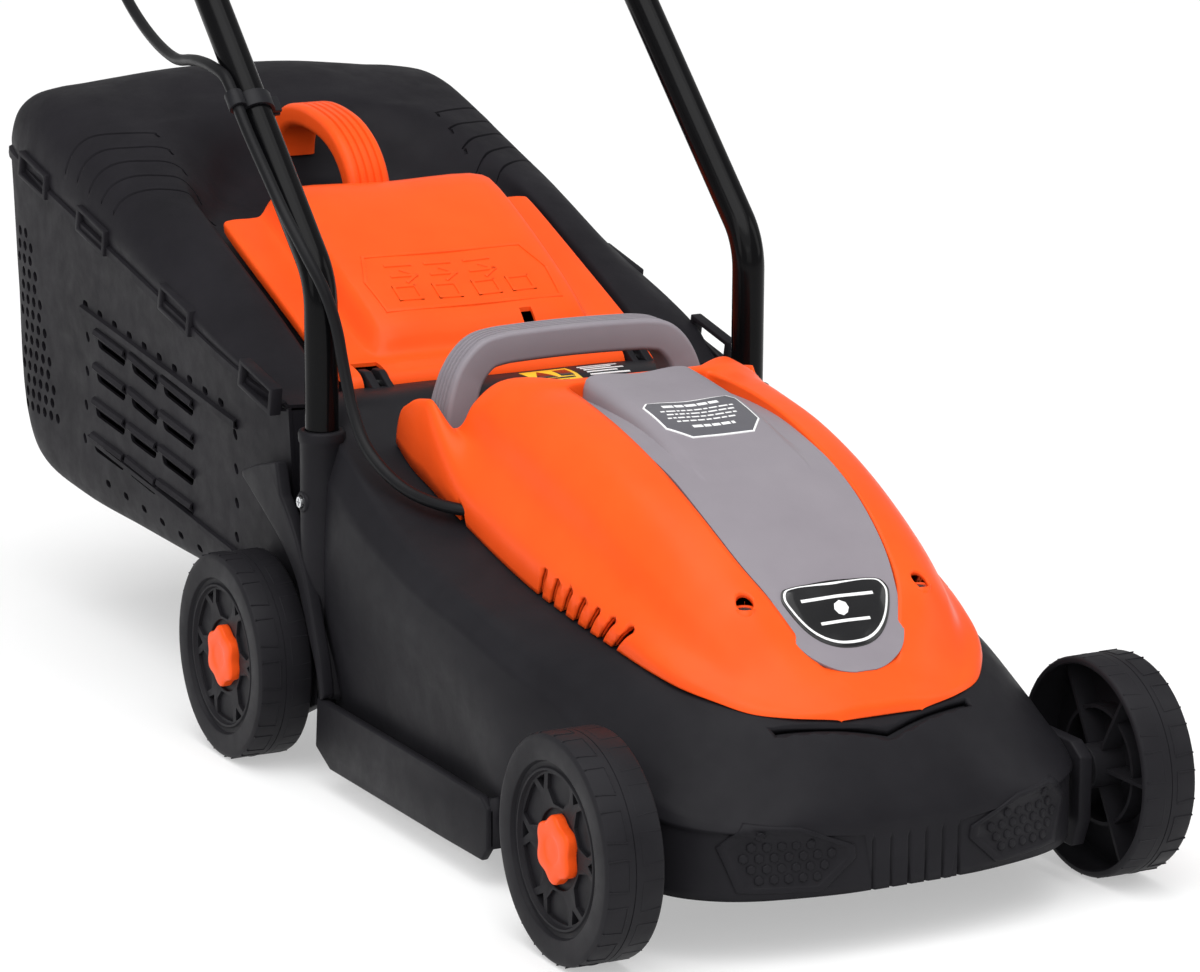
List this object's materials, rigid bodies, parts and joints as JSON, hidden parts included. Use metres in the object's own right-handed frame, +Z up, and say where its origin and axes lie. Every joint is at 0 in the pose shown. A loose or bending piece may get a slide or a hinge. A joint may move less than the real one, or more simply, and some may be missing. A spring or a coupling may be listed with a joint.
{
  "type": "lawn mower",
  "caption": "Push lawn mower with an electric motor under an orange cover, a charcoal deck, a rear grass collector with a spring flap, and a folding tube handle.",
  "frame": {"origin": "on the ground under the centre of the machine's box", "axes": "+Z up, the machine's front faces -Y and its handle reaches towards +Y, X across the machine"},
  "size_m": [0.4068, 1.1344, 0.9849],
  "materials": {
    "deck_plastic": "matt charcoal polypropylene with a fine moulded grain",
    "cover_plastic": "satin orange polypropylene",
    "panel_plastic": "satin mid grey plastic",
    "badge": "gloss black plate with a pale rim",
    "label_dark": null,
    "label_yellow": null,
    "zinc_steel": "zinc plated steel",
    "black_paint": "gloss black powder coat on steel tube",
    "orange_paint": "orange powder coat on steel rod",
    "cable_rubber": "black rubber sheath",
    "black_plastic": "black moulded plastic",
    "lamination": "stacked electrical steel",
    "copper": "enamelled copper",
    "cast_alloy": "die cast alloy",
    "brass": "plain brass",
    "capacitor_plastic": "pale plastic case",
    "cast_iron": "dark cast iron",
    "blade_steel": "hardened steel, ground cutting edges",
    "wheel_plastic": "matt charcoal plastic wheel",
    "foam": "closed cell foam",
    "button_plastic": "red moulded plastic"
  },
  "bodies": {
    "deck": {"deck_shell": "deck_plastic", "rear_axle_arms": "deck_plastic", "motor_cover": "cover_plastic", "cover_panel": "panel_plastic", "badge_plate": "badge", "rating_label": "label_dark", "warning_label": "label_yellow", "cover_screws": "zinc_steel", "carry_handle": "panel_plastic", "flap_hinge_rod": "zinc_steel", "flap_spring": "zinc_steel", "lower_tube_right": "black_paint", "lower_tube_left": "black_paint", "socket_screws": "zinc_steel", "cable_lower": "cable_rubber", "cable_clip": "black_plastic", "fold_bolts": "zinc_steel", "stator_core": "lamination", "stator_windings": "copper", "motor_lower_bracket": "cast_alloy", "motor_upper_bracket": "cast_alloy", "motor_bearings": "zinc_steel", "brush_holders": "brass", "suppression_capacitor": "capacitor_plastic", "motor_screws": "zinc_steel"},
    "cutting_unit": {"rotor_core": "lamination", "commutator": "copper", "motor_shaft": "zinc_steel", "cooling_fan": "black_plastic", "blade_carrier": "cast_iron", "cutting_blade": "blade_steel", "blade_bolt": "zinc_steel"},
    "flap": {"rear_flap": "cover_plastic"},
    "collector": {"collector_base": "deck_plastic", "collector_lid": "deck_plastic", "collector_handle": "cover_plastic"},
    "front_axle_set": {"front_axle": "zinc_steel", "front_axle_clips": "zinc_steel"},
    "rear_axle_set": {"rear_axle": "zinc_steel", "rear_axle_clips": "zinc_steel"},
    "front_wheel_r": {"front_wheel_right": "wheel_plastic", "front_cap_right": "cover_plastic"},
    "front_wheel_l": {"front_wheel_left": "wheel_plastic", "front_cap_left": "cover_plastic"},
    "rear_wheel_r": {"rear_wheel_right": "wheel_plastic", "rear_cap_right": "cover_plastic"},
    "rear_wheel_l": {"rear_wheel_left": "wheel_plastic", "rear_cap_left": "cover_plastic"},
    "upper_handle": {"upper_handle_tube": "black_paint", "foam_grip": "foam", "switch_box_top": "black_plastic", "switch_box_bottom": "black_plastic", "inlet_pins": "brass", "cord_hook": "black_plastic", "bail_bush": "black_plastic", "cable_upper": "cable_rubber"},
    "knob_r": {"wing_knob_right": "black_plastic"},
    "knob_l": {"wing_knob_left": "black_plastic"},
    "bail": {"bail_lever": "orange_paint"},
    "button": {"safety_button": "button_plastic"}
  },
  "joints": [
    {"name": "blade_spin", "type": "hinge", "parent": "deck", "child": "cutting_unit", "pos_m": [0, -0.30822, 0.1], "axis": [0, 0, 1], "continuous": true},
    {"name": "flap_lift", "type": "hinge", "parent": "deck", "child": "flap", "pos_m": [0, -0.03722, 0.2495], "axis": [1, 0, 0], "range_deg": [0, 75], "stiffness_Nm_per_rad": 0.25, "springref_deg": -28.65},
    {"name": "collector_pull", "type": "slide", "parent": "deck", "child": "collector", "axis": [0, 0.9397, 0.342], "range_m": [0, 0.35]},
    {"name": "front_height", "type": "slide", "parent": "deck", "child": "front_axle_set", "axis": [0, 0, -1], "range_m": [0, 0.03]},
    {"name": "rear_height", "type": "slide", "parent": "deck", "child": "rear_axle_set", "axis": [0, 0, -1], "range_m": [0, 0.03]},
    {"name": "front_right_roll", "type": "hinge", "parent": "front_axle_set", "child": "front_wheel_r", "pos_m": [-0.18, -0.49722, 0.07], "axis": [1, 0, 0], "continuous": true},
    {"name": "front_left_roll", "type": "hinge", "parent": "front_axle_set", "child": "front_wheel_l", "pos_m": [0.18, -0.49722, 0.07], "axis": [1, 0, 0], "continuous": true},
    {"name": "rear_right_roll", "type": "hinge", "parent": "rear_axle_set", "child": "rear_wheel_r", "pos_m": [-0.18, -0.01922, 0.07], "axis": [1, 0, 0], "continuous": true},
    {"name": "rear_left_roll", "type": "hinge", "parent": "rear_axle_set", "child": "rear_wheel_l", "pos_m": [0.18, -0.01922, 0.07], "axis": [1, 0, 0], "continuous": true},
    {"name": "handle_fold", "type": "hinge", "parent": "deck", "child": "upper_handle", "pos_m": [0, 0.1329, 0.54717], "axis": [1, 0, 0], "range_deg": [0, 150]},
    {"name": "knob_right_turn", "type": "hinge", "parent": "deck", "child": "knob_r", "pos_m": [-0.178, 0.1329, 0.54717], "axis": [1, 0, 0], "continuous": true},
    {"name": "knob_left_turn", "type": "hinge", "parent": "deck", "child": "knob_l", "pos_m": [0.178, 0.1329, 0.54717], "axis": [1, 0, 0], "continuous": true},
    {"name": "bail_pull", "type": "hinge", "parent": "upper_handle", "child": "bail", "pos_m": [0, 0.47269, 0.87189], "axis": [-1, 0, 0], "range_deg": [0, 28], "stiffness_Nm_per_rad": 0.8, "springref_deg": -28.65},
    {"name": "button_press", "type": "slide", "parent": "upper_handle", "child": "button", "axis": [0, 0.6909, -0.723], "range_m": [0, 0.004], "stiffness_N_per_m": 400, "springref_m": -0.004}
  ]
}
